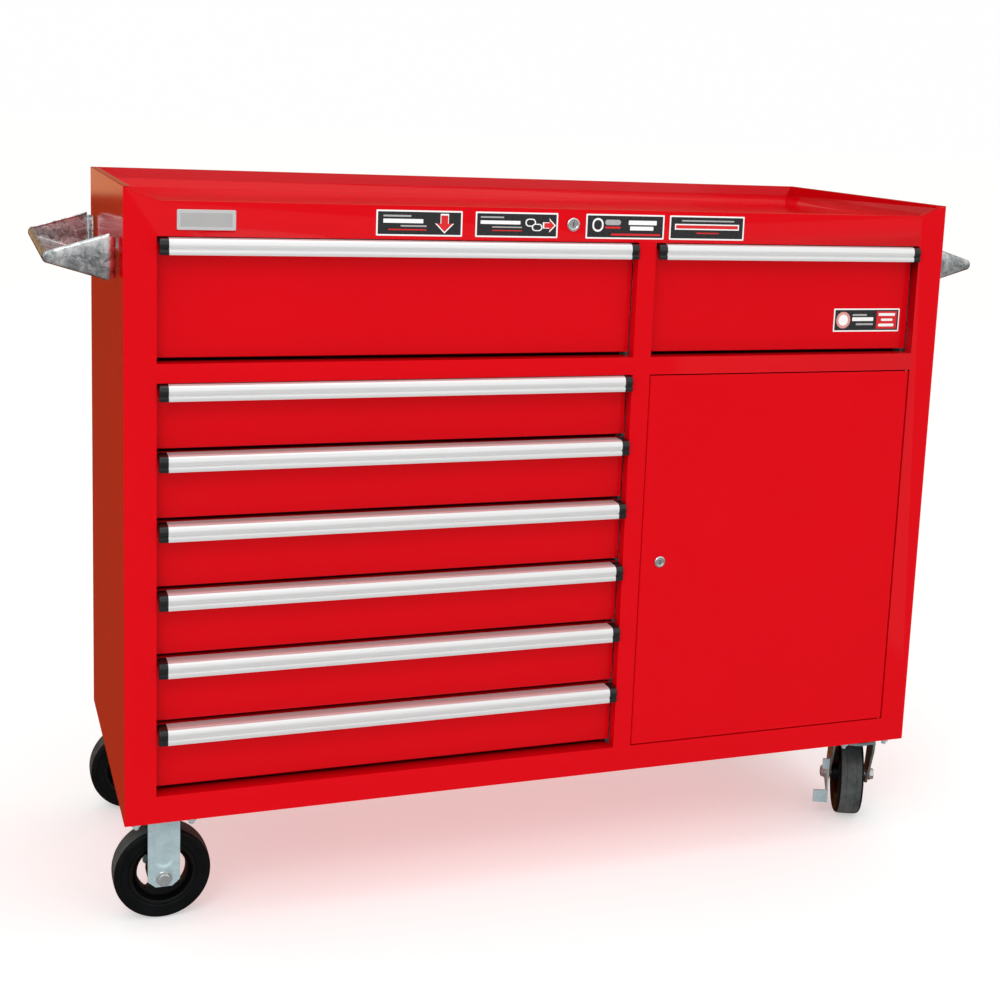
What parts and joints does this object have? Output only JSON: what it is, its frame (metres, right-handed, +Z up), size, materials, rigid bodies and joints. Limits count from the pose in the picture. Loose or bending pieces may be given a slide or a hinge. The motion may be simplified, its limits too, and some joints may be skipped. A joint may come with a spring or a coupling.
{
  "type": "rolling tool box",
  "caption": "Wide red steel rolling tool cabinet with a drawer bank, a lockable cupboard, a recessed top tray, side handles and rubber-tyred casters.",
  "frame": {"origin": "on the floor, under the middle of the bounding box", "axes": "+X to the right as seen from the front, -Y towards the viewer in front, +Z up"},
  "size_m": [1.586, 0.559, 1.148],
  "materials": {
    "red_paint": "glossy red powder coat",
    "inner_paint": "satin red coat on inner sheets",
    "aluminium": "satin anodised extrusion",
    "galvanised": "galvanised with visible spangle",
    "zinc_plate": "bright zinc plating",
    "chrome": "polished",
    "cast_core": "black enamel on cast iron",
    "tyre": "moulded-on black rubber"
  },
  "bodies": {
    "cabinet": {"front_frame": "red_paint", "left_side_panel": "red_paint", "right_side_panel": "red_paint", "back_panel": "red_paint", "bottom_panel": "red_paint", "tray_rim": "red_paint", "tray_floor_panel": "red_paint", "centre_partition": "inner_paint", "upper_divider": "inner_paint", "cupboard_shelf": "inner_paint", "slide_rack_left": "zinc_plate", "slide_rack_centre_left": "zinc_plate", "slide_rack_centre_right": "zinc_plate", "slide_rack_right": "zinc_plate", "door_hinge_pin_lower": "chrome", "door_hinge_pin_upper": "chrome", "left_handle": "galvanised", "right_handle": "galvanised", "fixed_front_bracket": "zinc_plate", "fixed_front_axle_bolt": "zinc_plate", "swivel_front_plate": "zinc_plate", "fixed_rear_bracket": "zinc_plate", "fixed_rear_axle_bolt": "zinc_plate", "swivel_rear_plate": "zinc_plate"},
    "drawer_1": {"drawer_1": "red_paint", "drawer_1_pull": "aluminium"},
    "drawer_2": {"drawer_2": "red_paint", "drawer_2_pull": "aluminium"},
    "drawer_3": {"drawer_3": "red_paint", "drawer_3_pull": "aluminium"},
    "drawer_4": {"drawer_4": "red_paint", "drawer_4_pull": "aluminium"},
    "drawer_5": {"drawer_5": "red_paint", "drawer_5_pull": "aluminium"},
    "drawer_6": {"drawer_6": "red_paint", "drawer_6_pull": "aluminium"},
    "drawer_7": {"drawer_7": "red_paint", "drawer_7_pull": "aluminium"},
    "drawer_8": {"drawer_8": "red_paint", "drawer_8_pull": "aluminium"},
    "door": {"cupboard_door": "red_paint"},
    "door_lock": {"door_lock": "chrome"},
    "main_lock": {"main_lock": "chrome"},
    "lock_bar": {"lock_bar": "zinc_plate"},
    "fixed_front_wheel": {"fixed_front_tyre": "tyre", "fixed_front_core": "cast_core"},
    "swivel_front": {"swivel_front_fork": "zinc_plate", "swivel_front_axle_bolt": "zinc_plate"},
    "swivel_front_wheel": {"swivel_front_tyre": "tyre", "swivel_front_core": "cast_core"},
    "swivel_front_brake": {"swivel_front_brake_pedal": "zinc_plate"},
    "fixed_rear_wheel": {"fixed_rear_tyre": "tyre", "fixed_rear_core": "cast_core"},
    "swivel_rear": {"swivel_rear_fork": "zinc_plate", "swivel_rear_axle_bolt": "zinc_plate"},
    "swivel_rear_wheel": {"swivel_rear_tyre": "tyre", "swivel_rear_core": "cast_core"},
    "swivel_rear_brake": {"swivel_rear_brake_pedal": "zinc_plate"}
  },
  "joints": [
    {"name": "drawer_1_slide", "type": "slide", "parent": "cabinet", "child": "drawer_1", "axis": [0, -1, 0], "range_m": [0, 0.42]},
    {"name": "drawer_2_slide", "type": "slide", "parent": "cabinet", "child": "drawer_2", "axis": [0, -1, 0], "range_m": [0, 0.42]},
    {"name": "drawer_3_slide", "type": "slide", "parent": "cabinet", "child": "drawer_3", "axis": [0, -1, 0], "range_m": [0, 0.42]},
    {"name": "drawer_4_slide", "type": "slide", "parent": "cabinet", "child": "drawer_4", "axis": [0, -1, 0], "range_m": [0, 0.42]},
    {"name": "drawer_5_slide", "type": "slide", "parent": "cabinet", "child": "drawer_5", "axis": [0, -1, 0], "range_m": [0, 0.42]},
    {"name": "drawer_6_slide", "type": "slide", "parent": "cabinet", "child": "drawer_6", "axis": [0, -1, 0], "range_m": [0, 0.42]},
    {"name": "drawer_7_slide", "type": "slide", "parent": "cabinet", "child": "drawer_7", "axis": [0, -1, 0], "range_m": [0, 0.42]},
    {"name": "drawer_8_slide", "type": "slide", "parent": "cabinet", "child": "drawer_8", "axis": [0, -1, 0], "range_m": [0, 0.42]},
    {"name": "door_swing", "type": "hinge", "parent": "cabinet", "child": "door", "pos_m": [0.6335, -0.2671, 0.544], "axis": [0, 0, 1], "range_deg": [0, 110]},
    {"name": "door_lock_turn", "type": "hinge", "parent": "door", "child": "door_lock", "pos_m": [0.1812, -0.2705, 0.5445], "axis": [0, 1, 0], "range_deg": [0, 90]},
    {"name": "main_lock_turn", "type": "hinge", "parent": "cabinet", "child": "main_lock", "pos_m": [-0.0003, -0.2705, 1.105], "axis": [0, 1, 0], "range_deg": [0, 90]},
    {"name": "lock_bar_drop", "type": "slide", "parent": "cabinet", "child": "lock_bar", "axis": [0, 0, -1], "range_m": [0, 0.008]},
    {"name": "fixed_front_wheel_roll", "type": "hinge", "parent": "cabinet", "child": "fixed_front_wheel", "pos_m": [-0.624, -0.2045, 0.075], "axis": [0, 1, 0], "continuous": true},
    {"name": "swivel_front_turn", "type": "hinge", "parent": "cabinet", "child": "swivel_front", "pos_m": [0.624, -0.2045, 0.18], "axis": [0, 0, 1], "continuous": true},
    {"name": "swivel_front_wheel_roll", "type": "hinge", "parent": "swivel_front", "child": "swivel_front_wheel", "pos_m": [0.64194, -0.16323, 0.075], "axis": [-0.9171, 0.3987, 0], "continuous": true},
    {"name": "swivel_front_brake_press", "type": "hinge", "parent": "swivel_front", "child": "swivel_front_brake", "pos_m": [0.64194, -0.16323, 0.075], "axis": [0.9171, -0.3987, 0], "range_deg": [0, 12]},
    {"name": "fixed_rear_wheel_roll", "type": "hinge", "parent": "cabinet", "child": "fixed_rear_wheel", "pos_m": [-0.624, 0.2135, 0.075], "axis": [0, 1, 0], "continuous": true},
    {"name": "swivel_rear_turn", "type": "hinge", "parent": "cabinet", "child": "swivel_rear", "pos_m": [0.624, 0.2135, 0.18], "axis": [0, 0, 1], "continuous": true},
    {"name": "swivel_rear_wheel_roll", "type": "hinge", "parent": "swivel_rear", "child": "swivel_rear_wheel", "pos_m": [0.579, 0.2135, 0.075], "axis": [0, -1, 0], "continuous": true},
    {"name": "swivel_rear_brake_press", "type": "hinge", "parent": "swivel_rear", "child": "swivel_rear_brake", "pos_m": [0.579, 0.2135, 0.075], "axis": [0, 1, 0], "range_deg": [0, 12]}
  ],
  "couplings": [
    {"joint": "main_lock_turn", "follows": "lock_bar_drop", "rad_per_m": 196.34}
  ]
}
